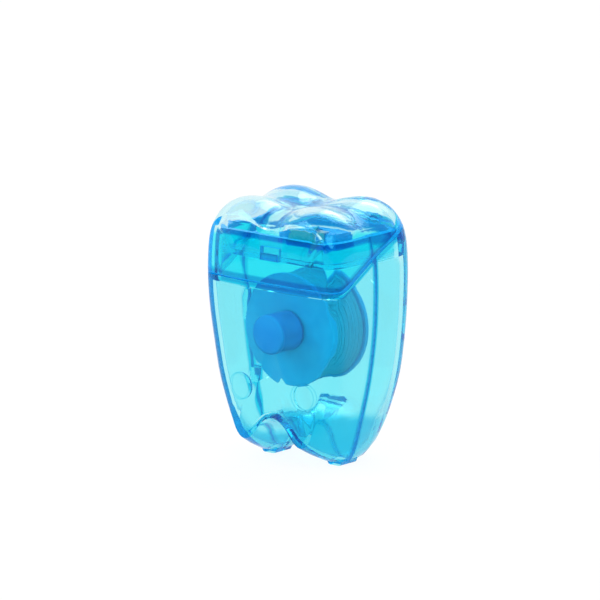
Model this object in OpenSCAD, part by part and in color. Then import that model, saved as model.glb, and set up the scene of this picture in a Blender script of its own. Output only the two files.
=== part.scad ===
// Tooth-shaped dental floss dispenser: two case shells, a hinged crown lid, a deck with a
// cutter, and a spool of floss on an axle. The front faces -Y, and the case stands on its roots.

/* [Case] */
// Width of the case at its widest
case_w = 37.4; // [32:0.2:46]
// Height of the case, from the root tips to the cusps
case_h = 57; // [50:0.5:70]
// Depth of the case, front to back, without the hinge
case_d = 27.2; // [24:0.2:32]
// Wall of the two shells
wall = 1.5; // [1.3:0.1:1.8]
// Radius of the vertical corners, seen from above
corner_r = 3.4; // [2.6:0.1:4.4]
// Bulge of the front and rear faces
dome = 1.3; // [0.6:0.1:2]
// How far the front leans forward towards the crown
lean = 1.2; // [0:0.1:1.5]

/* [Lid] */
// Wall of the lid
lid_wall = 1.2; // [0.9:0.1:1.2]
// Clearance between the lid and the neck inside it
lid_gap = 0.2; // [0.15:0.05:0.25]
// Gap of the parting line between the lid and the shells
parting_gap = 0.25; // [0.15:0.05:0.4]
// Wall of the neck inside the lid
neck_wall = 1.2; // [1:0.1:1.5]
// Height of the lid's lower edge along the front
lid_front_z = 40; // [36:0.2:42]
// Height of the lid's lower edge where it crosses the seam
lid_seam_z = 46.2; // [43:0.2:48]
// Height of the lid's lower edge at the hinge
lid_rear_z = 51.5; // [49:0.2:53]
// Height of the top edge of the neck
neck_top_z = 50.2; // [48:0.2:51]
// Depth of the grooves between the cusps
groove = 2.2; // [1:0.1:2.6]

/* [Hinge] */
// Diameter of the hinge knuckles
knuckle_d = 2.8; // [2.4:0.1:3.2]
// Diameter of the trunnions
trunnion_d = 1.4; // [1:0.1:1.5]
// Width of the lid's knuckle
knuckle_w = 10; // [6:0.5:14]
// Width of each of the shell's knuckles
ear_w = 4; // [3:0.5:5]
// Radial running clearance of trunnions and axle
running_gap = 0.08; // [0.03:0.01:0.1]

/* [Spool] */
// Diameter of the spool's flanges
flange_d = 24.4; // [20:0.2:26]
// Width of the spool over its flanges
spool_w = 10.4; // [8:0.2:12]
// Thickness of a flange
flange_t = 0.9; // [0.7:0.1:1.4]
// Diameter of the drum that the floss is wound on
drum_d = 15; // [12:0.5:17]
// Diameter of the axle
axle_d = 6; // [4:0.2:7]
// Diameter of the bosses that the spool turns between
boss_d = 8.6; // [8:0.2:10]
// Height of the spool's axis
spool_z = 29; // [27:0.2:31]
// Place of the spool's middle, front to back
spool_y = -1; // [-2:0.2:1]

/* [Floss] */
// Thickness of the floss
floss_d = 0.44; // [0.3:0.02:0.5]
// Turns in the outer layer
turns = 9; // [6:1:9]
// How far the wound core stays below the rims of the flanges
core_sunk = 1.2; // [0.8:0.1:3]

/* [Deck] */
// Height of the deck's underside
deck_z = 44.7; // [44:0.1:45.4]
// Thickness of the deck
deck_t = 1.2; // [1:0.1:1.6]
// Width of the raised block on the deck
block_w = 14.4; // [12:0.2:16]
// Depth of the block, front to back
block_d = 5.6; // [5:0.2:7]
// Height of the block over the deck
block_h = 3.4; // [2:0.1:3.6]
// Diameter of the floss outlet
outlet_d = 2.4; // [1.6:0.1:2.8]

/* [Cutter] */
// Thickness of the steel plate
plate_t = 0.35; // [0.25:0.05:0.5]
// Width of the cutter plate
plate_w = 9; // [7:0.5:11]
// Height of the raised tooth
tooth_h = 1.6; // [1:0.1:2]

/* [Tabs and mould marks] */
// How far a tab reaches past the seam
tab_reach = 2; // [1.2:0.1:3]
// Thickness of a tab
tab_t = 1; // [0.8:0.1:1.4]
// Height of the middle of the upper tabs
upper_tab_z = 31.5; // [28:0.5:34]
// Height over an upper tab
upper_tab_h = 6.5; // [4:0.5:8]
// Height of the middle of the lower tabs
lower_tab_z = 16.5; // [15:0.5:20]
// Height over a lower tab
lower_tab_h = 3; // [2:0.5:4]
// Height of the mould marks on the front
lower_mark_z = 16.5; // [15:0.5:20]
// Diameter of the mould marks on the front
lower_mark_d = 5.7; // [4:0.1:6]
// Height of the mould marks on the rear
upper_mark_z = 39.5; // [37:0.5:41]
// Diameter of the mould marks on the rear
upper_mark_d = 5.4; // [4:0.1:6]

/* [Hidden] */
$fn = 48;
clear = "powderblue";
half_d = case_d / 2;
half_w = case_w / 2;
// the star point of every outline, inside the case
mid_z = 0.52 * case_h;
face_y = half_d - dome;
side_y = face_y - corner_r;
// shares of the way from the seam to the corner, on the shells and on the lid
shell_shares = [0, 0.55];
lid_shares = [0, 0.2, 0.4, 0.6, 0.8];
corner_angles = [0, 24, 48, 69, 90];
dome_shares = [0.7, 0.4];
// points of a curve between two control points
steps = 3;

// Right half of the outline in the seam plane, from the top of the root notch round the root
// and up the side to the groove in the crown. Widths are shares of the half width, heights
// shares of the height.
seam_shape = [[0, 0.16], [0.17, 0.125], [0.31, 0.036], [0.42, 0.005], [0.55, 0.005], [0.665, 0.048],
  [0.775, 0.168], [0.9, 0.335], [0.979, 0.51], [1, 0.65], [0.995, 0.755], [0.965, 0.86], [0.89, 0.932],
  [0.75, 0.98], [0.55, 1], [0.27, 0.998], [0, 0.998]];
// The same points where the side has turned into the front face.
face_shape = [[0, 0.19], [0.153, 0.165], [0.3, 0.11], [0.4, 0.09], [0.49, 0.1], [0.57, 0.14],
  [0.65, 0.225], [0.74, 0.35], [0.81, 0.51], [0.848, 0.632], [0.866, 0.745], [0.858, 0.838], [0.81, 0.9],
  [0.69, 0.93], [0.48, 0.941], [0.21, 0.942], [0, 0.942]];
corners = len(seam_shape) - 1;
// first and last point of the arch that the lid and the neck use
arch = [8 * steps, 2 * corners * steps - 8 * steps];

function lerp(a, b, t) = a + (b - a) * t;
function clamp(t) = max(0, min(1, t));
function ease(t) = let (c = clamp(t)) c * c * (3 - 2 * c);
function at(p, i) = p[(i + len(p)) % len(p)];
function reversed(p) = [for (i = [len(p) - 1 : -1 : 0]) p[i]];
function flipped(faces) = [for (f = faces) reversed(f)];
function spline(a, b, c, d, t) =
  0.5 * (2 * b + (c - a) * t + (2 * a - 5 * b + 4 * c - d) * t * t + (3 * b - a - 3 * c + d) * t * t * t);
function mirrored(p) = concat(p, [for (i = [len(p) - 2 : -1 : 1]) [-p[i][0], p[i][1]]]);
function smooth(p) = [for (i = [0 : len(p) - 1]) for (k = [0 : steps - 1])
  spline(at(p, i - 1), at(p, i), at(p, i + 1), at(p, i + 2), k / steps)];
function inward(p, d) = [for (i = [0 : len(p) - 1])
  let (t = at(p, i + 1) - at(p, i - 1)) p[i] + d * [-t[1], t[0]] / norm(t)];

// A station is [depth, share at the sides, share at the crown, share at the roots].
// The bottom rises more towards the front than towards the rear.
side_share = 0.06;
// shares of the height where the front begins to lean, and over which it leans
lean_from = [0.35, 0.35];
function station(y, wide, side) = [y, wide, pow(y / face_y, 6), pow(y / face_y, side < 0 ? 1.5 : 2.6)];
function stations(shares, side) = concat(
  [for (s = shares) station(side_y * s, side_share * s, side)],
  [for (a = corner_angles) station(side_y + corner_r * sin(a), lerp(side_share, 1, 1 - cos(a)), side)]);
function gain(z, side) = side < 0 ? lean * ease((z / case_h - lean_from[0]) / lean_from[1]) : 0;
function share(s, z) = z > 0.5 ? lerp(s[1], s[2], ease((z - 0.82) / 0.12)) : lerp(s[1], s[3], ease((0.3 - z) / 0.28));
function control(i, s) = let (p = lerp(seam_shape[i], face_shape[i], share(s, seam_shape[i][1])))
  [p[0] * half_w, p[1] * case_h];
function outline(s, inset) = inward(smooth(mirrored([for (i = [0 : corners]) control(i, s)])), inset);
// The grooves between the four cusps, deepest where they cross.
groove_wide = [3.4, 2.6];
cross_groove_y = -1.2;
cross_groove_share = 0.8;
// shares of the height where the grooves begin, and over which they reach their depth
groove_from = [0.87, 0.08];
function relief(x, y) = groove * norm([exp(-pow(x / groove_wide[0], 2)),
  cross_groove_share * exp(-pow((y - cross_groove_y) / groove_wide[1], 2))]);
function carved(p) = p - [0, 0, ease((p[2] / case_h - groove_from[0]) / groove_from[1]) * relief(p[0], p[1])];
function ring(s, inset, side) = let (y = s[0] * (half_d - inset) / half_d, f = s[0] / face_y)
  [for (q = outline(s, inset)) carved([q[0], side * (y + f * gain(q[1], side)), q[1]])];
function dome_ring(f, inset, side) = [for (q = outline([face_y, 1, 1, 1], inset)) let (z = lerp(mid_z, q[1], f))
  [q[0] * f, side * (half_d - inset - dome * f * f + gain(z, side)), z]];
// Rings from a face to the seam.
function half_rings(shares, inset, side) = concat(
  [for (f = reversed(dome_shares)) dome_ring(f, inset, side)],
  [for (s = reversed(stations(shares, side))) ring(s, inset, side)]);
function tip(inset, side) = [0, side * (half_d - inset + gain(mid_z, side)), mid_z];
function part_of(rings, span) = [for (r = rings) [for (i = [span[0] : span[1]]) r[i]]];

function grid(m, n, wraps) = [for (j = [0 : m - 2]) for (i = [0 : n - (wraps ? 1 : 2)])
  let (a = j * n + i, b = j * n + (i + 1) % n) each [[a, b, b + n], [a, b + n, a + n]]];
function fan(first, n, middle, wraps) = [for (i = [0 : n - (wraps ? 1 : 2)])
  [first + i, middle, first + (i + 1) % n]];
function strip(path, o) = [for (i = [0 : len(path) - 2])
  let (a = path[i], b = path[i + 1]) each [[a, b, b + o], [a, b + o, a + o]]];

// A wall between two skins of the same rings. The skins close in a point at the first ring,
// and at the last one too where a second tip is given.
module walled(outer, inner, tips, wraps, turned) {
  m = len(outer);
  n = len(outer[0]);
  two = len(tips) == 4;
  o = m * n + 2;
  points = concat([for (r = outer) each r], [tips[0], two ? tips[2] : tips[0]],
    [for (r = inner) each r], [tips[1], two ? tips[3] : tips[1]]);
  last = (m - 1) * n;
  skin = concat(grid(m, n, wraps), fan(0, n, m * n, wraps), two ? flipped(fan(last, n, m * n + 1, wraps)) : []);
  rim = two ? [] : strip([for (i = [0 : n - (wraps ? 0 : 1)]) last + i % n], o);
  first_edge = concat([m * n], [for (j = [0 : m - 1]) j * n], two ? [m * n + 1] : []);
  last_edge = reversed([for (e = first_edge) e < m * n ? e + n - 1 : e]);
  edges = wraps ? [] : concat(strip(first_edge, o), strip(last_edge, o));
  faces = concat(skin, [for (f = flipped(skin)) [for (i = f) i + o]], rim, edges);
  polyhedron(points, turned ? faces : flipped(faces));
}

// Half of the tooth as a tray with its rim in the seam, or only its upper arch.
module half_wall(inset, thickness, side, whole) {
  a = half_rings(shell_shares, inset, side);
  b = half_rings(shell_shares, inset + thickness, side);
  tips = [tip(inset, side), tip(inset + thickness, side)];
  walled(whole ? a : part_of(a, arch), whole ? b : part_of(b, arch), tips, whole, side < 0);
}
module crown_wall(inset, thickness) {
  a = [for (s = [-1, 1]) half_rings(lid_shares, inset, s)];
  b = [for (s = [-1, 1]) half_rings(lid_shares, inset + thickness, s)];
  front_to_rear = [for (r = [a, b]) concat(r[0], [for (j = [len(r[1]) - 2 : -1 : 0]) r[1][j]])];
  tips = [tip(inset, -1), tip(inset + thickness, -1), tip(inset, 1), tip(inset + thickness, 1)];
  walled(part_of(front_to_rear[0], arch), part_of(front_to_rear[1], arch), tips, false, true);
}

// Half width of the outline at a height, and where a face stands on the middle line there.
function width_at(z, s, inset) = lookup(z, [for (q = outline(s, inset)) if (q[0] > 0) [q[1], q[0]]]);
function face_share(z, inset) = (z - mid_z) / (face_shape[corners][1] * case_h - inset - mid_z);
function dome_depth(f, z, inset, side) = half_d - inset - dome * f * f + gain(z, side);
function face_depth(z, inset, side) = dome_depth(face_share(z, inset), z, inset, side);
function inside_depth(x, z, side) = let (w = width_at(z, [face_y, 1, 1, 1], wall))
  dome_depth(max(face_share(z, wall), x / w), z, wall, side);
// Right half of the plan of the inside at a height, from the seam to a face.
function plan_quarter(z, inset, side) = let (all = stations(shell_shares, side), k = (half_d - inset) / half_d,
  w = width_at(z, all[len(all) - 1], inset), f = face_share(z, inset)) concat(
  [for (s = all) [width_at(z, s, inset), side * s[0] * (k + gain(z, side) / face_y)]],
  [for (g = [(1 + f) / 2, f]) [w * g, side * dome_depth(g, z, inset, side)]]);
function left_of(p) = [for (q = reversed(p)) [-q[0], q[1]]];
function plan(z, inset) = let (rear = plan_quarter(z, inset, 1), front = plan_quarter(z, inset, -1))
  concat(rear, left_of(rear), [for (q = front) if (q[1] < 0) [-q[0], q[1]]],
    [for (q = reversed(front)) if (q[1] < 0) q]);

// The lid's lower edge, seen from the side: level along the front, up to the seam, up to the hinge.
line_front_y = 0.8 * half_d;
line_rear_y = 0.92 * half_d;
reach = 2 * case_d;
module side_profile(points) rotate([90, 0, 90]) linear_extrude(2 * case_w, center = true) polygon(points);
module above_line(lift) side_profile([[-reach, lid_front_z + lift], [-line_front_y, lid_front_z + lift],
  [0, lid_seam_z + lift], [line_rear_y, lid_rear_z + lift], [reach, lid_rear_z + lift], [reach, 2 * case_h],
  [-reach, 2 * case_h]]);

// how far a cut runs past what it cuts
spill = 1;
neck_inset = lid_wall + lid_gap;
neck_in = neck_inset + neck_wall;
// how far the neck reaches down inside the shells, below the lid line
lap = 1.5;
lap_y = line_front_y * ((deck_z + lap - lid_front_z) / (lid_seam_z - lid_front_z) - 1);
module neck_band() side_profile([[-reach, lid_front_z - lap], [-line_front_y, lid_front_z - lap],
  [lap_y, deck_z], [reach, deck_z], [reach, neck_top_z], [-reach, neck_top_z]]);
module neck(side) intersection() {
  half_wall(neck_inset, neck_wall, side, false);
  neck_band();
}

// Hinge at the top of the rear face.
hinge_share = 0.2;
hinge_y = face_depth(lid_rear_z, 0, 1) + hinge_share * knuckle_d;
hinge_z = lid_rear_z;
axial_gap = 0.25;
ear_x = knuckle_w / 2 + axial_gap;
hinge_relief = 0.3;
// how far a trunnion ends inside its knuckle
trunnion_short = 0.5;
module along_x(x0, x1, d) translate([x0, hinge_y, hinge_z]) rotate([0, 90, 0]) cylinder(h = x1 - x0, d = d);

// Spool and its bearings, all on one line along Y.
spool_gap = 0.3;
spool_front = spool_y - spool_w / 2;
spool_back = spool_y + spool_w / 2;
socket_depth = 2.4;
module along_y(y0, y1, d, x = 0, z = spool_z) translate([x, y1, z]) rotate([90, 0, 0])
  cylinder(h = y1 - y0, d = d);
in_wall = wall / 2;

// Ribs that carry the deck.
rib_x = 0.5 * half_w;
rib_w = 1.6;
rib_h = 2.2;
rib_reach = 1.2;
deck_gap = 0.15;
module deck_ribs(side) {
  root = face_depth(deck_z, side > 0 ? in_wall : neck_inset + neck_wall / 2, side);
  end = face_depth(deck_z, neck_in, side) - rib_reach;
  for (x = [-rib_x, rib_x]) translate([x - rib_w / 2, side > 0 ? end : -root, deck_z - rib_h])
    cube([rib_w, root - end, rib_h]);
}

// Catch in the middle of the neck's front.
catch_w = 5.2;
catch_z = deck_z + 0.2;
catch_h = 2.9;
catch_bite = 0.3;
// clearance of the lid's bar in the neck's window, at its ends and under it
catch_end_gap = 0.3;
catch_low_gap = 0.15;

// Feet under the roots, where the shells meet, so that the case stands.
foot_w = 3.2;
foot_d = 2.6;
foot_round = 0.5;
foot_x = (seam_shape[3][0] + seam_shape[4][0]) / 2 * half_w;
foot_h = seam_shape[3][1] * case_h + wall / 2;
module feet(side) for (x = [-foot_x, foot_x]) translate([x, side > 0 ? foot_d : 0, 0]) rotate([90, 0, 0])
  linear_extrude(foot_d) polygon([[-foot_w / 2 - foot_round, foot_h], [-foot_w / 2 - foot_round / 2, foot_round],
    [-foot_w / 2, foot_round / 4], [-foot_w / 2 + foot_round, 0], [foot_w / 2 - foot_round, 0],
    [foot_w / 2, foot_round / 4], [foot_w / 2 + foot_round / 2, foot_round], [foot_w / 2 + foot_round, foot_h]]);

// Round marks that the mould's ejector pins leave inside the front and the rear.
mark_x = 8.7;
mark_rise = 0.2;
module marks(z, d, side) for (x = [-mark_x, mark_x]) {
  depth = inside_depth(mark_x, z, side);
  along_y(side > 0 ? depth - mark_rise : -depth - wall / 2, side > 0 ? depth + wall / 2 : mark_rise - depth, d, x, z);
}

// Tabs of the rear shell that lap inside the front one, at the sides.
tab_gap = 0.2;
tab_root = 3;
module tabs(z, h) {
  seam = [0, 0, 0, 0];
  low = z - h / 2;
  face = min(width_at(low, seam, wall), width_at(low + h, seam, wall)) - tab_gap;
  buried = min(width_at(low, seam, 0), width_at(low + h, seam, 0)) - wall / 4;
  for (s = [-1, 1]) scale([s, 1, 1]) translate([face - tab_t, 0, low]) {
    translate([0, -tab_reach, 0]) cube([tab_t, tab_reach + tab_root, h]);
    translate([0, parting_gap, 0]) cube([buried - face + tab_t, tab_root - parting_gap, h]);
  }
}

module shell_body(side) {
  difference() {
    half_wall(0, wall, side, true);
    above_line(0);
  }
  feet(side);
  neck(side);
  deck_ribs(side);
}

module front_shell() color(clear) difference() {
  union() {
    shell_body(-1);
    along_y(-half_d - gain(spool_z, -1) + in_wall, spool_front - spool_gap, boss_d);
    marks(lower_mark_z, lower_mark_d, -1);
  }
  along_y(spool_front - spool_gap - socket_depth - spool_gap, spool_front, axle_d + 2 * running_gap);
  translate([-catch_w / 2, -face_depth(catch_z, 0, -1), catch_z])
    cube([catch_w, neck_in + spill, catch_h]);
}

module rear_shell() color(clear) difference() {
  union() {
    difference() {
      shell_body(1);
      along_x(-ear_x, ear_x, knuckle_d + 2 * hinge_relief);
    }
    along_y(spool_back + spool_gap, half_d - in_wall, boss_d);
    marks(upper_mark_z, upper_mark_d, 1);
    tabs(upper_tab_z, upper_tab_h);
    tabs(lower_tab_z, lower_tab_h);
    along_y(spool_front - spool_gap - socket_depth, spool_back + 2 * spool_gap, axle_d);
    for (s = [-1, 1]) along_x(s > 0 ? ear_x : -ear_x - ear_w, s > 0 ? ear_x + ear_w : -ear_x, knuckle_d);
  }
  along_x(-ear_x - ear_w - spill, ear_x + ear_w + spill, trunnion_d + 2 * running_gap);
}

module lid() color(clear) union() {
  difference() {
    intersection() {
      crown_wall(0, lid_wall);
      above_line(parting_gap);
    }
    for (s = [-1, 1]) along_x(s > 0 ? ear_x - axial_gap : -ear_x - ear_w - axial_gap,
      s > 0 ? ear_x + ear_w + axial_gap : -ear_x + axial_gap, knuckle_d + 2 * hinge_relief);
  }
  along_x(-knuckle_w / 2, knuckle_w / 2, knuckle_d);
  along_x(trunnion_short - ear_x - ear_w, ear_x + ear_w - trunnion_short, trunnion_d);
  root_y = face_depth(catch_z, lid_wall / 2, -1);
  bite_y = face_depth(catch_z, neck_inset + catch_bite, -1);
  translate([catch_end_gap - catch_w / 2, -root_y, catch_z + catch_low_gap])
    cube([catch_w - 2 * catch_end_gap, root_y - bite_y, catch_h / 2]);
}

block_y = 2;
module deck() color(clear) difference() {
  union() {
    translate([0, 0, deck_z]) linear_extrude(deck_t) polygon(plan(deck_z + deck_t, neck_in + deck_gap));
    translate([-block_w / 2, block_y - block_d / 2, deck_z]) cube([block_w, block_d, deck_t + block_h]);
  }
  translate([0, block_y, deck_z - spill]) cylinder(h = deck_t + block_h + 2 * spill, d = outlet_d);
}

// Steel plate folded over the front of the block, with one raised tooth.
plate_drop = 2.4;
plate_back = 1.2;
tooth_w = 2.4;
module cutter() color("silver") {
  top = deck_z + deck_t + block_h;
  front = block_y - block_d / 2;
  translate([-plate_w / 2, front - plate_t, top - plate_drop]) cube([plate_w, plate_t, plate_drop + plate_t]);
  translate([-plate_w / 2, front - plate_t, top]) cube([plate_w, plate_back + plate_t, plate_t]);
  translate([0, front, top]) rotate([90, 0, 0]) linear_extrude(plate_t)
    polygon([[-tooth_w / 2, 0], [tooth_w / 2, 0], [0, tooth_h]]);
}

module spool() color("white") translate([0, spool_back, spool_z]) rotate([90, 0, 0]) rotate_extrude()
  polygon([[axle_d / 2 + running_gap, 0], [flange_d / 2, 0], [flange_d / 2, flange_t], [drum_d / 2, flange_t],
    [drum_d / 2, spool_w - flange_t], [flange_d / 2, spool_w - flange_t], [flange_d / 2, spool_w],
    [axle_d / 2 + running_gap, spool_w]]);

core_d = flange_d - 2 * core_sunk;
core_gap = 0.05;
wound_w = spool_w - 2 * flange_t;
module floss_core() color("white") translate([0, spool_back - flange_t - core_gap, spool_z]) rotate([90, 0, 0])
  rotate_extrude() polygon([[drum_d / 2 + core_gap, 0], [core_d / 2, 0], [core_d / 2, wound_w - 2 * core_gap],
    [drum_d / 2 + core_gap, wound_w - 2 * core_gap]]);

// A round tube along points, with flat ends.
function unit(v) = v / norm(v);
function tangent(p, i) = unit(p[min(i + 1, len(p) - 1)] - p[max(i - 1, 0)]);
module tube(path, d, sides, side_dir) {
  n = len(path);
  points = [for (i = [0 : n - 1]) let (t = tangent(path, i), u = unit(cross(t, side_dir)), v = cross(t, u))
    for (k = [0 : sides - 1]) path[i] + d / 2 * (cos(360 * k / sides) * u + sin(360 * k / sides) * v)];
  faces = concat([for (i = [0 : n - 2]) for (k = [0 : sides - 1])
    let (a = i * sides + k, b = i * sides + (k + 1) % sides) each [[a, a + sides, b + sides], [a, b + sides, b]]],
    [for (k = [1 : sides - 2]) [0, k, k + 1]],
    [for (k = [1 : sides - 2]) [(n - 1) * sides, (n - 1) * sides + k + 1, (n - 1) * sides + k]]);
  polyhedron(points, faces);
}

turn_rings = 24;
// the tube is straight between its rings, so the rings stand off the core
winding_gap = 0.02;
wound_r = (core_d / 2 + winding_gap) / cos(180 / turn_rings) + floss_d / 2;
pitch = (wound_w - floss_d - 2 * core_gap) / turns;
echo(least_gap_in_winding = pitch - floss_d);
module floss_winding() color("white") {
  from_y = spool_front + flange_t + core_gap + floss_d / 2;
  tube([for (i = [0 : turns * turn_rings]) let (a = 360 * i / turn_rings)
    [wound_r * sin(a), from_y + pitch * i / turn_rings, spool_z + wound_r * cos(a)]], floss_d, 6, [0, 1, 0]);
}

// The free floss, from beside the winding up through the outlet and over the cutter's tooth.
strand_points = [[8.6, 1, 37.75], [6.2, 1.2, 39.7], [3.6, 1.5, 42.2], [0.6, 1.9, 44.4], [0, 2, 46.4], [0, 2, 48.8],
  [0.5, 1.7, 50], [1.2, 1, 50.4], [1.9, -0.2, 50.4], [2.1, -1.2, 50.1], [2.1, -1.7, 49.4], [2, -1.8, 48.2]];
module floss_strand() color("white") tube(strand_points, floss_d, 8, [1, 0, 0]);

front_shell();
rear_shell();
lid();
deck();
cutter();
spool();
floss_core();
floss_winding();
floss_strand();
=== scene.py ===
import math

import bmesh
import bpy
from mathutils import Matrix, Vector


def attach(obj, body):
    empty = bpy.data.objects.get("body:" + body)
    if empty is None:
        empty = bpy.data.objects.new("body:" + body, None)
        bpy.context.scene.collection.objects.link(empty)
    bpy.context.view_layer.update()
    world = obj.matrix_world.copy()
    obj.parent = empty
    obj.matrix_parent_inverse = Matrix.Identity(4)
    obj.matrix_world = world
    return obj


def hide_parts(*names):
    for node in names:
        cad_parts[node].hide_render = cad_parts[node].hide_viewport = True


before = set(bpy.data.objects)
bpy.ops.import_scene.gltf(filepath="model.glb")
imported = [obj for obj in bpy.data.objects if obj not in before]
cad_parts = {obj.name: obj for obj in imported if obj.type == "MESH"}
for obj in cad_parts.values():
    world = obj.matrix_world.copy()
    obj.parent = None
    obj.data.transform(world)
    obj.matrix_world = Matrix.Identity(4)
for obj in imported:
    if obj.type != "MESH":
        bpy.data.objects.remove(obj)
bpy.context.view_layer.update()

mm = 0.001
lyingDown = (math.pi / 2, 0, 0)  # turns a cylinder's axis along the spool's
print("frame loaded, pieces:", ", ".join(sorted(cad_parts)))


camera = {
    "azimuth": 40,  # degrees round from the front, towards +X
    "elevation": 12.5,
    "distance": 2.0,
    "width": 0.12766,  # what the 600 x 600 frame takes in at the object
    "target": (-1.548 * mm, -1.3 * mm, 34.26 * mm),
    "sensor": 36,
    "clip": (0.05, 20),
}


def addCamera(given):
    turn, rise = math.radians(given["azimuth"]), math.radians(given["elevation"])
    level = math.cos(rise)
    away = Vector((math.sin(turn) * level, -math.cos(turn) * level, math.sin(rise)))
    bpy.ops.object.camera_add(location=Vector(given["target"]) + away * given["distance"])
    made = bpy.context.object
    made.name = "photoCamera"
    made.rotation_euler = away.to_track_quat("Z", "Y").to_euler()
    made.data.sensor_width = given["sensor"]
    made.data.lens = given["sensor"] * given["distance"] / given["width"]
    made.data.clip_start, made.data.clip_end = given["clip"]
    bpy.context.scene.camera = made


addCamera(camera)
print("camera placed")


class Value:  # a socket's value, so that shader maths reads as plain Python
    def __init__(self, finish, socket):
        self.finish, self.socket = finish, socket

    def __add__(self, other):
        return self.finish.maths("ADD", self, other)

    def __radd__(self, other):
        return self.finish.maths("ADD", other, self)

    def __sub__(self, other):
        return self.finish.maths("SUBTRACT", self, other)

    def __rsub__(self, other):
        return self.finish.maths("SUBTRACT", other, self)

    def __mul__(self, other):
        return self.finish.maths("MULTIPLY", self, other)

    def __rmul__(self, other):
        return self.finish.maths("MULTIPLY", other, self)

    def __pow__(self, other):
        return self.finish.maths("POWER", self, other)

    def __rpow__(self, other):
        return self.finish.maths("POWER", other, self)

    def __abs__(self):
        return self.finish.maths("ABSOLUTE", self)


class Made:  # a node that was just added
    def __init__(self, finish, node):
        self.finish, self.node = finish, node

    def out(self, name=0):
        return Value(self.finish, self.node.outputs[name])


class Finish:  # the nodes of one material, or of the world
    def __init__(self, owner, end="OutputMaterial"):
        owner.use_nodes = True
        self.owner, self.tree = owner, owner.node_tree
        self.tree.nodes.clear()
        self.end = self.node(end).node

    def node(self, kind, settings=None, sockets=None):
        made = self.tree.nodes.new("ShaderNode" + kind)
        for name, value in (settings or {}).items():
            setattr(made, name, value)
        for name, value in (sockets or {}).items():
            if isinstance(value, Value):
                self.tree.links.new(value.socket, made.inputs[name])
            else:
                made.inputs[name].default_value = value
        return Made(self, made)

    def maths(self, operation, *terms):
        return self.node("Math", {"operation": operation}, dict(enumerate(terms))).out()

    def larger(self, a, b):
        return self.maths("MAXIMUM", a, b)

    def place(self):
        return self.node("TexCoord").out("Object")

    def noise(self, scale, detail=2.0, roughness=0.5, stretch=(1, 1, 1)):
        moved = self.node("Mapping", {}, {"Vector": self.place(), "Scale": stretch}).out()
        looks = {"Vector": moved, "Scale": scale, "Detail": detail, "Roughness": roughness}
        return self.node("TexNoise", {}, looks).out("Fac")

    def spread(self, value, low, high, toLow=0, toHigh=1):
        return self.node("MapRange", {}, dict(enumerate((value, low, high, toLow, toHigh)))).out()

    def step(self, value, low, high, toLow=0, toHigh=1):  # as spread, from and to in mm
        return self.spread(value, low * mm, high * mm, toLow, toHigh)

    def near(self, value, middle, half):  # 1 close to a line and 0 away from it, in mm
        inner, outer = 0.7, 1.3
        return self.step(abs(value - middle * mm), half * inner, half * outer, 1, 0)

    def mix(self, share, a, b):
        return self.node("Mix", {"data_type": "RGBA"}, {0: share, 6: a, 7: b}).out(2)

    def bump(self, height, distance, strength):
        sockets = {"Strength": strength, "Distance": distance, "Height": height}
        return self.node("Bump", {}, sockets).out()

    def surface(self, value):
        self.tree.links.new(value.socket, self.end.inputs["Surface"])

    def volume(self, value):
        self.tree.links.new(value.socket, self.end.inputs["Volume"])


noiseRange = (0.3, 0.7)  # where most values of a noise lie

clearPlastic = {
    "ior": 1.5,
    "gloss": (0.15, 0.85, 1.0, 1),
    "haze": (420, 3),
    "scratches": (900, 2, 0.6, (1, 1, 9)),
    "hazeShare": 0.6,
    "worn": (0.35, 0.7),  # from the clearest places to the most worn
    "roughness": (0.012, 0.05),
    "waves": (130, 1.0),
    "ripple": 0.00003,
    "rippleStrength": 0.5,
    "absorb": (0.3, 0.93, 0.99, 1),  # what a thick wall lets through of each colour
    "density": 110,
    "lampTint": (0.67, 0.948, 0.985, 1),  # of the lamps' light behind a wall
    "blots": (160, 2),
    "wander": 3.0,  # mm, how far the edges of a tint wander
    "slope": 0.07,  # of the tints' edges, from side to side
    "pale": (0.52, 0.94, 0.985, 1),
    "deep": (0.1, 0.9, 0.97, 1),
    "edge": (0.0, 0.47, 0.76, 1),
    "root": (0.12, 0.74, 0.9, 1),
    "neck": (0.0, 0.26, 0.7, 1),
    "rear": (0.7, 0.955, 0.985, 1),
    # the lid's top over the neck: paler because fewer walls overlap there, and paler still by a
    # painted sheen of the light from above
    "crown": (0.88, 0.975, 0.992, 1),
    "rearFrom": (6, 9),  # mm back from the seam, and mm up, where the rear tint begins
    "rearOver": (43, 44),
    "outline": (0.5, 0.72),  # from where a wall is seen so far edge-on that its blue deepens
    "outlineShare": 0.85,
    "outlineTop": (48, 51, 1, 0.15),  # mm up, and how much outline is under and over
}
caseTints = {
    "change": (44.3, 44.9, "pale", "deep"),  # heights in mm, and the tints under and over them
    "rootAt": (4.5, 10.5),  # height of the deeper root tips, left and right
    "rootTurn": (-2, 3),  # where on the way across the one turns into the other
    "rootSlope": 0.22,
    "rootFade": 0.8,
    "marks": (  # the rings that ejector pins leave: side, x, height, radius, tint
        (-1, -8.7, 16.5, 2.85, "root"),
        (-1, 8.7, 16.5, 2.85, "root"),
        (1, -8.7, 39.5, 2.7, "edge"),
    ),
    "markLine": 0.16,
    "markShare": 0.8,
    "seamBand": 0.5,
    "farBand": 1.0,  # the left seam, which the front wall shows from inside
    "farFrom": (-8, -6),
    "neckFront": 0.6,  # half the height of the deeper band along the neck's top
    "neckRear": 1.0,
}
lidTints = {
    # over the neck's top the lid turns to the crown tint and its painted sheen
    "change": (50.0, 51.2, "deep", "crown"),
    "calm": 0.06,  # what is left of the crown's ripple on the walls
    "calmUnder": (50.5, 52),
}
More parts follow.
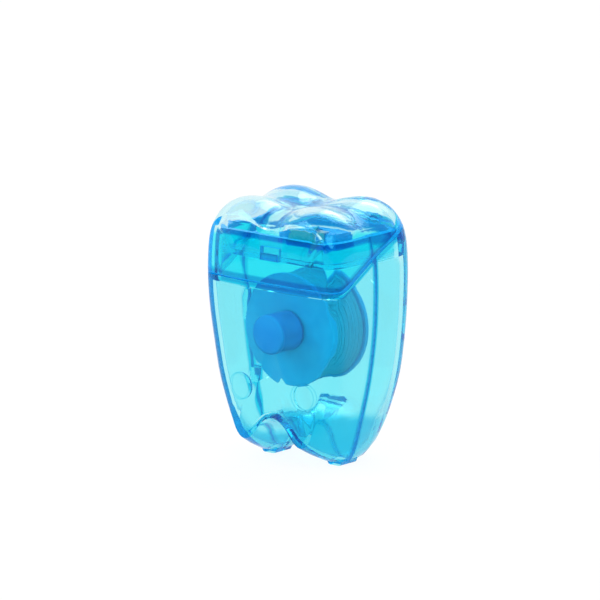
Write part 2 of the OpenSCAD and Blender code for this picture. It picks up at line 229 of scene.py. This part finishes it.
shape = {  # places on the case, in mm, as the CAD has them
    "line": (  # the lid's lower edge from the side: y and height
        (-40, 40.0),
        (-10.88, 40.0),
        (0, 46.2),
        (12.512, 51.5),
        (40, 51.5),
    ),
    "gap": 0.25,  # between the lid's edge and the shells
    "ledge": 0.55,  # half the height of the deeper band along that edge
    "seam": 0.05,
    "seamStand": 0.03,  # how far each shell's rim stands from the seam
    "neckTop": 50.2,
    "bossAt": 29,
    "boss": 4.4,
    "spoolAt": 1.0,
    "bossReach": 10.5,
}


def lineUnder(f, y):  # height of the lid's lower edge over a place on the side
    (y1, z1), (y2, z2), (y3, z3) = shape["line"][1:4]
    return f.step(y, y1, y2, z1 * mm, z2 * mm) + f.step(y, y2, y3, 0, (z3 - z2) * mm)


def tintByHeight(f, given, change, place, height):
    low, high, under, over = change
    tint = f.mix(f.step(height - place["x"] * given["slope"], low, high), given[under], given[over])
    atRear = f.step(place["y"], *given["rearFrom"]) * f.step(place["z"], *given["rearOver"])
    return f.mix(atRear, tint, given["rear"])


def tintCase(f, given, case, place, height):
    x, y, z = place["x"], place["y"], place["z"]
    tint = tintByHeight(f, given, case["change"], place, height)

    left, right = case["rootAt"]
    overRoots = height + y * case["rootSlope"] - f.step(x, *case["rootTurn"], left * mm, right * mm)
    inRoots = f.step(overRoots, -case["rootFade"], case["rootFade"], 1, 0)
    tint = f.mix(inRoots, tint, given["root"])

    for side, across, markHeight, radius, colour in case["marks"]:
        off = (x - across * mm) ** 2 + (z - markHeight * mm) ** 2
        onSide = f.step(y * side, 0, 1, 0, case["markShare"])
        tint = f.mix(f.near(off ** 0.5, radius, case["markLine"]) * onSide, tint, given[colour])

    band = f.near(z - lineUnder(f, y), -shape["ledge"], shape["ledge"])
    band = f.larger(band, f.near(y, 0, case["seamBand"]))
    farSeam = f.near(y, 0, case["farBand"]) * f.step(x, *case["farFrom"], 1, 0)
    tint = f.mix(f.larger(band, farSeam), tint, given["edge"])

    front = f.near(z, shape["neckTop"] - case["neckFront"], case["neckFront"])
    rear = f.near(z, shape["neckTop"] - case["neckRear"], case["neckRear"]) * f.step(y, 0, 1)
    return f.mix(f.larger(front, rear), tint, given["neck"])


def tintLid(f, given, lid, place, height):
    tint = tintByHeight(f, given, lid["change"], place, height)
    middle = shape["gap"] + shape["ledge"]
    band = f.near(place["z"] - lineUnder(f, place["y"]), middle, shape["ledge"])
    return f.mix(band, tint, given["edge"])


def makeClearPlastic(name, given, tintIt=None, tints=None):
    f = Finish(bpy.data.materials.new(name))
    scuffs = f.noise(*given["haze"]) * given["hazeShare"]
    scuffs = scuffs + f.noise(*given["scratches"]) * (1 - given["hazeShare"])
    rough = f.spread(scuffs, *given["worn"], *given["roughness"])
    ripple = f.noise(*given["waves"])
    tint = given["pale"]
    if tints:
        split = f.node("SeparateXYZ", {}, {0: f.place()})
        place = {axis: split.out(axis.upper()) for axis in "xyz"}
        height = place["z"] + (f.noise(*given["blots"]) - 0.5) * (given["wander"] * mm)
        tint = tintIt(f, given, tints, place, height)
        if "calm" in tints:
            ripple = ripple * f.step(place["z"], *tints["calmUnder"], tints["calm"], 1)
        facing = f.node("LayerWeight", {}, {"Blend": 0.5}).out("Facing")
        outline = f.spread(facing, *given["outline"], 0, given["outlineShare"])
        outline = outline * f.step(place["z"], *given["outlineTop"])
        tint = f.mix(outline, tint, given["edge"])
    body = f.node("BsdfPrincipled", {}, {
        "Base Color": tint,
        "Roughness": rough,
        "IOR": given["ior"],
        "Specular Tint": given["gloss"],
        "Transmission Weight": 1.0,
        "Normal": f.bump(ripple, given["ripple"], given["rippleStrength"]),
    }).out()
    # lamps reach the floss through the walls, as they do through real plastic
    clear = f.node("BsdfTransparent", {}, {"Color": given["lampTint"]}).out()
    isShadow = f.node("LightPath").out("Is Shadow Ray")
    f.surface(f.node("MixShader", {}, {0: isShadow, 1: body, 2: clear}).out())
    lost = {"Color": given["absorb"], "Density": given["density"]}
    f.volume(f.node("VolumeAbsorption", {}, lost).out())
    return f.owner


rimPlastic = {  # cut edges of the clear mouldings, with a painted glow that stands in for the light gathering in them
    "pattern": (300, 2, 0.5, (1, 1, 4)),
    "colours": ((0.0, 0.32, 0.66, 1), (0.01, 0.43, 0.78, 1)),
    "roughness": (0.2, 0.4),
    "ior": 1.3,
    "bump": (0.00003, 0.5),
    # painted glow: the edges give off a little light of their own
    "glow": 0.25,
}
# the deck's block keeps the rims' painted glow
blockPlastic = {**rimPlastic, "colours": ((0.0, 0.24, 0.62, 1), (0.01, 0.34, 0.74, 1))}
spoolPlastic = {
    "pattern": (350, 3),
    "colours": ((0.0, 0.42, 0.78, 1), (0.01, 0.48, 0.82, 1)),
    "roughness": (0.28, 0.42),
    "ior": 1.25,
    "bump": (0.00004, 0.4),
    "bumpPattern": (260, 2),
}
bossPlastic = {**spoolPlastic, "colours": ((0.0, 0.33, 0.8, 1), (0.01, 0.38, 0.84, 1))}
catchPlastic = {**spoolPlastic, "colours": ((0.0, 0.4, 0.8, 1), (0.02, 0.5, 0.86, 1))}
rolledSteel = {
    "pattern": (1600, 3, 0.6, (1, 18, 18)),
    "colours": ((0.42, 0.47, 0.55, 1), (0.55, 0.6, 0.68, 1)),
    "roughness": (0.22, 0.38),
    "metal": 1.0,
    "bump": (0.00001, 0.5),
}
waxedFloss = {
    "pattern": (2600, 3, 0.6),
    "colours": ((0.01, 0.38, 0.6, 1), (0.03, 0.48, 0.68, 1)),
    "roughness": (0.42, 0.6),
    "ior": 1.28,
    "bump": (0.00003, 0.6),
}


def makeSolid(name, given):
    f = Finish(bpy.data.materials.new(name))
    pattern = f.noise(*given["pattern"])
    grain = f.noise(*given["bumpPattern"]) if "bumpPattern" in given else pattern
    sockets = {
        "Base Color": f.mix(f.spread(pattern, *noiseRange), *given["colours"]),
        "Roughness": f.spread(pattern, *noiseRange, *given["roughness"]),
        "Normal": f.bump(grain, *given["bump"]),
    }
    for key, socket in (("ior", "IOR"), ("metal", "Metallic"), ("glow", "Emission Strength")):
        if key in given:
            sockets[socket] = given[key]
    # a painted glow, in the finish's darker colour
    if "glow" in given:
        sockets["Emission Color"] = given["colours"][0]
    f.surface(f.node("BsdfPrincipled", {}, sockets).out())
    return f.owner


caseFinish = makeClearPlastic("clearBluePlastic", clearPlastic, tintCase, caseTints)
deckFinish = makeClearPlastic("clearBlueDeck", {**clearPlastic, "ior": 1.1})
lidPlastic = {**clearPlastic, "ripple": 0.0005, "lampTint": (0.78, 0.96, 0.987, 1)}
lidFinish = makeClearPlastic("clearBlueLid", lidPlastic, tintLid, lidTints)
rimFinish = makeSolid("mouldedRim", rimPlastic)
blockFinish = makeSolid("deckBlock", blockPlastic)
spoolFinish = makeSolid("spoolPlastic", spoolPlastic)
bossFinish = makeSolid("bossPlastic", bossPlastic)
catchFinish = makeSolid("catchBar", catchPlastic)
steelFinish = makeSolid("rolledSteel", rolledSteel)
flossFinish = makeSolid("waxedFloss", waxedFloss)
print("finishes made")


def wear(piece, *finishes):
    piece.data.materials.clear()
    for finish in finishes:
        piece.data.materials.append(finish)


def alone(piece):
    bpy.ops.object.select_all(action="DESELECT")
    piece.select_set(True)
    bpy.context.view_layer.objects.active = piece


def selectFaces(piece, wanted):  # in edit mode, by the places of a face's corners and its normal
    bpy.ops.mesh.select_mode(type="FACE")
    bpy.ops.mesh.select_all(action="DESELECT")
    made = bmesh.from_edit_mesh(piece.data)
    for face in made.faces:
        face.select = wanted([v.co / mm for v in face.verts], face.normal)
    bmesh.update_edit_mesh(piece.data)


def smoothUnder(angle):
    bpy.ops.object.shade_smooth_by_angle(angle=math.radians(angle))


def softenEdges(piece, width, over):  # width in mm, and the least angle between two faces
    alone(piece)
    bevel = piece.modifiers.new("soft edges", "BEVEL")
    bevel.width = width * mm
    bevel.segments = 3
    bevel.limit_method = "ANGLE"
    bevel.angle_limit = math.radians(over)
    bpy.ops.object.modifier_apply(modifier=bevel.name)


# the grooves between the cusps, in mm: as the CAD carves them, and softer as the photo shows them
crown = {
    "height": 57,
    "from": 0.87,
    "over": 0.08,
    "middle": -1.2,
    "carved": (2.2, 3.4, 0.8, 2.6),
    "softer": (1.75, 4.6, 0.85, 3.9),
    "rounds": 30,
}


def reliefAt(x, y, depth, across, share, along):
    lengthwise = math.exp(-((x / across) ** 2))
    crosswise = share * math.exp(-(((y - crown["middle"]) / along) ** 2))
    return depth * math.hypot(lengthwise, crosswise)


def easeAt(z):
    t = max(0, min(1, (z / crown["height"] - crown["from"]) / crown["over"]))
    return t * t * (3 - 2 * t)


def softenCrown(piece):
    for corner in piece.data.vertices:
        x, y, z = (c / mm for c in corner.co)
        carved = reliefAt(x, y, *crown["carved"])
        whole = z
        for each in range(crown["rounds"]):  # finds the height before the grooves were carved
            whole = z + easeAt(whole) * carved
        corner.co.z = (whole - easeAt(whole) * reliefAt(x, y, *crown["softer"])) * mm


ribs = {"x": (8.5, 10.2), "reach": 14, "z": (42.48, 44.72)}  # those that carry the deck, in mm
ribSides = (ribs["x"], tuple(-x for x in reversed(ribs["x"])))
rooms = {  # where details leave the copies, in mm: x, y and z from and to
    "rearShell": (
        ((12, 20), (-2, 3), (28.25, 34.75)),  # the photo shows the snap tabs on one side only
        ((12, 20), (-2, 3), (15, 18)),
        *((x, (0, ribs["reach"]), ribs["z"]) for x in ribSides),
    ),
    "frontShell": tuple((x, (-ribs["reach"], 0), ribs["z"]) for x in ribSides),
}
roomSlack = 0.02


def inRooms(spaces):
    def inSpace(corner, space):
        return all(low - roomSlack < c < high + roomSlack for c, (low, high) in zip(corner, space))

    def leaves(corners, normal):
        if max(abs(n) for n in normal) < 0.99999:
            return False
        return any(all(inSpace(corner, space) for corner in corners) for space in spaces)
    return leaves


def closeWithout(piece, leaves):
    bpy.ops.object.mode_set(mode="EDIT")
    selectFaces(piece, leaves)
    bpy.ops.mesh.delete(type="FACE")
    bpy.ops.mesh.select_mode(type="EDGE")
    bpy.ops.mesh.select_non_manifold(extend=False)
    bpy.ops.mesh.fill_holes(sides=0)
    bpy.ops.mesh.quads_convert_to_tris()
    bpy.ops.mesh.select_non_manifold(extend=False)
    left = sum(edge.select for edge in bmesh.from_edit_mesh(piece.data).edges)
    print(piece.name, "closed, edges left open:", left)
    bpy.ops.mesh.select_mode(type="VERT")
    bpy.ops.object.mode_set(mode="OBJECT")


trim = {  # what tells the edges and small parts of the clear mouldings, in mm
    "near": 0.03,
    "notch": (8, 14),  # half the width and the height of the arch between the roots, left clear
    "bossSlack": 0.1,
    "catchHalf": 2.65,
    "catchFront": -9,
    "catchHeight": (44.85, 47.85),
    "blockHalf": 7.3,
    "blockOver": 45.85,
}


def lineAt(y):
    for (y0, z0), (y1, z1) in zip(shape["line"], shape["line"][1:]):
        if y <= y1:
            return z0 + (z1 - z0) * (y - y0) / (y1 - y0)
    return z1


def isNeckTop(corners):
    return all(abs(c.z - shape["neckTop"]) < trim["near"] for c in corners)


def isRim(corners):
    if all(abs(c.y) < shape["seam"] for c in corners):
        half, height = trim["notch"]
        return not all(abs(c.x) < half and c.z < height for c in corners)
    over = [c.z - lineAt(c.y) for c in corners]
    return any(all(abs(o - lift) < trim["near"] for o in over) for lift in (0, shape["gap"]))


def isBoss(corners, normal=None):  # the tube and the pin that carry the spool
    widest = shape["boss"] + trim["bossSlack"]
    if any(math.hypot(c.x, c.z - shape["bossAt"]) > widest for c in corners):
        return False
    return all(abs(c.y + shape["spoolAt"]) < shape["bossReach"] for c in corners)


def isCatch(corners, normal):  # the lid's bar, and the sides of the window that it snaps into
    if max(abs(n) for n in normal) < 0.999:
        return False
    low, high = trim["catchHeight"]
    return all(abs(c.x) < trim["catchHalf"] and c.y < trim["catchFront"] and low < c.z < high
               for c in corners)


def isBlock(corners):  # the raised block on the deck, which holds the cutter
    return all(c.z > trim["blockOver"] and abs(c.x) < trim["blockHalf"] for c in corners)


mouldingFinishes = (rimFinish, bossFinish, catchFinish, blockFinish)  # after the clear plastic


def finishAt(corners, normal, isLid):
    # the neck's top faces take the block finish, with its painted glow
    if isNeckTop(corners):
        return blockFinish
    if isRim(corners):
        return rimFinish
    if isBoss(corners):
        return bossFinish
    if isCatch(corners, normal):
        return catchFinish if isLid else rimFinish
    return None


def dressFaces(piece, pick):
    slots = list(piece.data.materials)
    for face in piece.data.polygons:
        corners = [piece.data.vertices[i].co / mm for i in face.vertices]
        finish = pick(corners, face.normal)
        if finish:
            face.material_index = slots.index(finish)


softEdges = {  # width in mm, and the least angle
    "cutterPlate": (0.06, 40),
    "flossSpool": (0.18, 40),
    "deckPlate": (0.12, 40),
}
sharpOver = 32  # degrees between two faces that stay apart in the shading


def mouldedCopy(node, name, body, slot, finish, seam=0):
    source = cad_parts[node]
    piece = source.copy()
    piece.data = source.data.copy()
    for key in list(piece.keys()):
        del piece[key]
    piece.parent = None
    piece.name = name
    bpy.context.scene.collection.objects.link(piece)
    alone(piece)
    bpy.ops.object.mode_set(mode="EDIT")
    bpy.ops.mesh.select_all(action="SELECT")
    bpy.ops.mesh.remove_doubles(threshold=0.002 * mm)
    bpy.ops.mesh.customdata_custom_splitnormals_clear()
    bpy.ops.object.mode_set(mode="OBJECT")
    if name == "crownLid":
        softenCrown(piece)
    if name in rooms:
        closeWithout(piece, inRooms(rooms[name]))
    if name == "frontShell":  # spoolBoss takes its place
        closeWithout(piece, isBoss)
    for corner in piece.data.vertices:  # the shells' rims stand a hair apart, as two mouldings do
        if seam and abs(corner.co.y) < 0.001 * mm:
            corner.co.y = seam
    smoothUnder(sharpOver)
    wear(piece, finish)
    if finish in (caseFinish, lidFinish):
        wear(piece, finish, *mouldingFinishes)
        dressFaces(piece, lambda corners, normal: finishAt(corners, normal, name == "crownLid"))
    if name in softEdges:
        softenEdges(piece, *softEdges[name])
        smoothUnder(sharpOver)
    if name == "deckPlate":
        wear(piece, finish, blockFinish)
        dressFaces(piece, lambda corners, normal: blockFinish if isBlock(corners) else None)
    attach(piece, body)
    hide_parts(node)


for node, name, body, slot, finish, *seam in (
    ("front_shell", "frontShell", "case", "case_plastic", caseFinish, -shape["seamStand"] * mm),
    ("rear_shell", "rearShell", "case", "case_plastic", caseFinish, shape["seamStand"] * mm),
    ("lid", "crownLid", "lid", "case_plastic", lidFinish),
    ("deck", "deckPlate", "case", "case_plastic", deckFinish),
    ("cutter", "cutterPlate", "case", "steel", steelFinish),
    ("spool", "flossSpool", "spool", "spool_plastic", spoolFinish),
):
    mouldedCopy(node, name, body, slot, finish, *seam)
print("case, lid and spool dressed")


def addRound(name, radius, front, rear, sides):  # a cylinder round the spool's axis, in mm
    bpy.ops.object.select_all(action="DESELECT")
    bpy.ops.mesh.primitive_cylinder_add(
        vertices=sides, radius=radius * mm, depth=(rear - front) * mm,
        location=(0, (front + rear) / 2 * mm, shape["bossAt"] * mm),
        rotation=lyingDown, end_fill_type="NGON")
    piece = bpy.context.object
    piece.name = name
    bpy.ops.object.transform_apply(location=True, rotation=True, scale=True)
    return piece


boss = {  # the boss that carries the spool at the front, in mm
    "outside": 4.3,
    "bore": 3.08,
    "boreDepth": 3.0,
    "front": -13.6,
    "end": -6.5,
    "sides": 64,
    "soft": (0.55, 30),
    "sharpOver": 40,
}


def addBoss(given):
    piece = addRound("spoolBoss", given["outside"], given["front"], given["end"], given["sides"])
    bpy.ops.object.mode_set(mode="EDIT")
    selectFaces(piece, lambda corners, normal: normal.y > 0.9)  # the end that meets the spool
    bpy.ops.mesh.inset(thickness=(given["outside"] - given["bore"]) * mm)
    deeper = {"value": (0, -given["boreDepth"] * mm, 0)}
    bpy.ops.mesh.extrude_region_move(TRANSFORM_OT_translate=deeper)
    bpy.ops.object.mode_set(mode="OBJECT")
    softenEdges(piece, *given["soft"])
    smoothUnder(given["sharpOver"])
    return piece


bossPiece = addBoss(boss)
wear(bossPiece, bossFinish)
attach(bossPiece, "case")
print("boss added")


winding = {
    "thick": 0.42,
    "out": 11.73,  # outside radius of the outer layer
    "room": (-5.25, 3.25),  # between the flanges, front to back
    "layers": 2,
    "bedding": 0.87,  # how far apart two layers lie, as a share of the floss's thickness
    "rings": 40,  # in one turn
    "sides": 8,
    "sway": 0.05,
    "swayRate": 0.37,
    "swayOut": 0.3,
    "sharpOver": 50,
    "core": 10.98,
    "drum": 7.56,
    "coreSides": 72,
}
strand = {  # from the winding through the outlet and over the cutter
    "thick": 0.42,
    "sides": 10,
    "order": 4,
    "steps": 6,  # between two points of the route
    "sharpOver": 50,
    "route": (
        (8.6, 1, 37.75),
        (6.2, 1.2, 39.7),
        (3.6, 1.5, 42.2),
        (0.6, 1.9, 44.4),
        (0, 2, 46.4),
        (0, 2, 48.8),
        (0.5, 1.7, 50),
        (1.2, 1, 50.4),
        (1.9, -0.2, 50.4),
        (2.1, -1.2, 50.1),
        (2.1, -1.7, 49.4),
        (2, -1.8, 48.2),
    ),
}


def tubeAlong(name, points, given):
    line = bpy.data.curves.new(name, "CURVE")
    line.dimensions = "3D"
    line.bevel_depth = given["thick"] / 2 * mm
    line.bevel_resolution = (given["sides"] - 4) // 2
    line.use_fill_caps = True
    smoothIt = "order" in given
    run = line.splines.new("NURBS" if smoothIt else "POLY")
    run.points.add(len(points) - 1)
    for spot, place in zip(run.points, points):
        spot.co = (*(c * mm for c in place), 1)
    if smoothIt:
        run.use_endpoint_u = True
        run.order_u = given["order"]
        run.resolution_u = given["steps"]
    piece = bpy.data.objects.new(name, line)
    bpy.context.scene.collection.objects.link(piece)
    alone(piece)
    bpy.ops.object.convert(target="MESH")
    piece = bpy.context.object
    bpy.ops.object.mode_set(mode="EDIT")
    bpy.ops.mesh.select_all(action="SELECT")
    bpy.ops.mesh.remove_doubles(threshold=0.001 * mm)  # closes the caps
    bpy.ops.object.mode_set(mode="OBJECT")
    smoothUnder(given["sharpOver"])
    return piece


def wind(given):
    thick, rings = given["thick"], given["rings"]
    low, high = given["room"][0] + thick / 2, given["room"][1] - thick / 2
    turns = int((high - low) / thick)
    pitch = (high - low) / turns
    points = []
    for layer in range(given["layers"]):  # the inner layer runs forward, the outer one back
        inner = given["layers"] - 1 - layer
        radius = given["out"] - thick / 2 - inner * thick * given["bedding"]
        for i in range(turns * rings + 1):
            turned = i / rings
            along = low + pitch * turned if layer % 2 else high - pitch * turned
            lean = given["sway"] * math.sin(2 * math.pi * turned * given["swayRate"] + layer)
            out = radius + lean * given["swayOut"]
            angle = 2 * math.pi * turned
            y = min(high, max(low, along + lean))
            points.append((out * math.sin(angle), y, shape["bossAt"] + out * math.cos(angle)))
    return tubeAlong("woundFloss", points, given)


def fillUnder(given):  # what lies under the outer layers, as a grooved drum
    piece = addRound("flossUnder", given["core"], *given["room"], given["coreSides"])
    bpy.ops.object.mode_set(mode="EDIT")
    selectFaces(piece, lambda corners, normal: abs(normal.y) > 0.9)
    bpy.ops.mesh.inset(thickness=(given["core"] - given["drum"]) * mm)
    bpy.ops.mesh.bridge_edge_loops()
    bpy.ops.object.mode_set(mode="OBJECT")
    return piece


flossPieces = (
    (wind(winding), "spool", "floss_winding"),
    (fillUnder(winding), "spool", "floss_core"),
    (tubeAlong("freeFloss", strand["route"], strand), "case", "floss_strand"),
)
for piece, body, node in flossPieces:
    wear(piece, flossFinish)
    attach(piece, body)
    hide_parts(node)
print("floss wound")


studio = {
    "floor": 4.0,
    "floorLit": 0.6,  # how much light the floor gives back to the object
    "floorShadow": 0.12,  # and how much it shows of the lamps and the shadow
    "floorSeen": 0.9,
    "floorThrough": 0.84,  # as the plastic shows it
    "lamps": (  # place, size, watts
        ((-0.5, -0.5, 0.6), 0.5, 2.2),
        ((0.65, -0.35, 0.5), 0.4, 1.5),
        ((-0.1, 0.55, 0.75), 0.7, 3.0),
    ),
    "aim": (0, 0, 0.03),
    "backdropSide": (-0.64, 0.77),  # the direction of the white backdrop that gloss finds
    "backdropFade": (0.1, 0.6),
    "backlight": 1.0,
    "around": 0.08,  # what gloss finds where there is no backdrop
    "soft": 0.6,  # the world's light on plain surfaces
    "bounces": {"max": 40, "transmission": 36, "glossy": 36, "transparent_max": 16},
}


def seenBy(f, *rays):
    path = f.node("LightPath")
    seen = path.out(rays[0])
    for ray in rays[1:]:
        seen = f.larger(seen, path.out(ray))
    return seen


def grey(share):
    return (share, share, share, 1)


def makeStudioWhite(name, given):
    f = Finish(bpy.data.materials.new(name))
    lit = f.node("BsdfDiffuse", {}, {"Color": grey(given["floorLit"])}).out()
    shadow = f.node("BsdfDiffuse", {}, {"Color": grey(given["floorShadow"])}).out()
    seen = f.node("Emission", {}, {"Color": grey(1), "Strength": given["floorSeen"]}).out()
    through = f.node("Emission", {}, {"Color": grey(1), "Strength": given["floorThrough"]}).out()
    byCamera = seenBy(f, "Is Camera Ray")
    glow = f.node("MixShader", {}, {0: byCamera, 1: through, 2: seen}).out()
    shown = f.node("AddShader", {}, {0: shadow, 1: glow}).out()
    byEye = seenBy(f, "Is Camera Ray", "Is Transmission Ray", "Is Glossy Ray")
    f.surface(f.node("MixShader", {}, {0: byEye, 1: lit, 2: shown}).out())
    return f.owner


def lightWorld(given):
    world = bpy.data.worlds.new("studioWorld")
    bpy.context.scene.world = world
    f = Finish(world, "OutputWorld")
    shown = seenBy(f, "Is Camera Ray", "Is Transmission Ray")
    glossy = seenBy(f, "Is Glossy Ray")
    # gloss finds the white backdrop behind the object, and the dimmer room elsewhere
    way = f.node("SeparateXYZ", {}, {0: f.node("TexCoord").out("Generated")})
    towards = way.out("X") * given["backdropSide"][0] + way.out("Y") * given["backdropSide"][1]
    behind = f.spread(towards, *given["backdropFade"], given["around"], given["backlight"])
    strength = f.larger(shown, glossy * behind) + (1 - shown) * (1 - glossy) * given["soft"]
    f.surface(f.node("Background", {}, {"Color": grey(1), "Strength": strength}).out())


bpy.ops.mesh.primitive_plane_add(size=studio["floor"], location=(0, 0, 0))
floor = bpy.context.object
floor.name = "floor"
wear(floor, makeStudioWhite("studioWhite", studio))

for place, size, power in studio["lamps"]:
    bpy.ops.object.light_add(type="AREA", location=place)
    lamp = bpy.context.object
    lamp.data.shape = "SQUARE"
    lamp.data.size = size
    lamp.data.energy = power
    lamp.rotation_euler = (Vector(place) - Vector(studio["aim"])).to_track_quat("Z", "Y").to_euler()

lightWorld(studio)

scene = bpy.context.scene
scene.view_settings.view_transform = "Standard"
for kind, most in studio["bounces"].items():
    setattr(scene.cycles, kind + "_bounces", most)
print("studio lit")
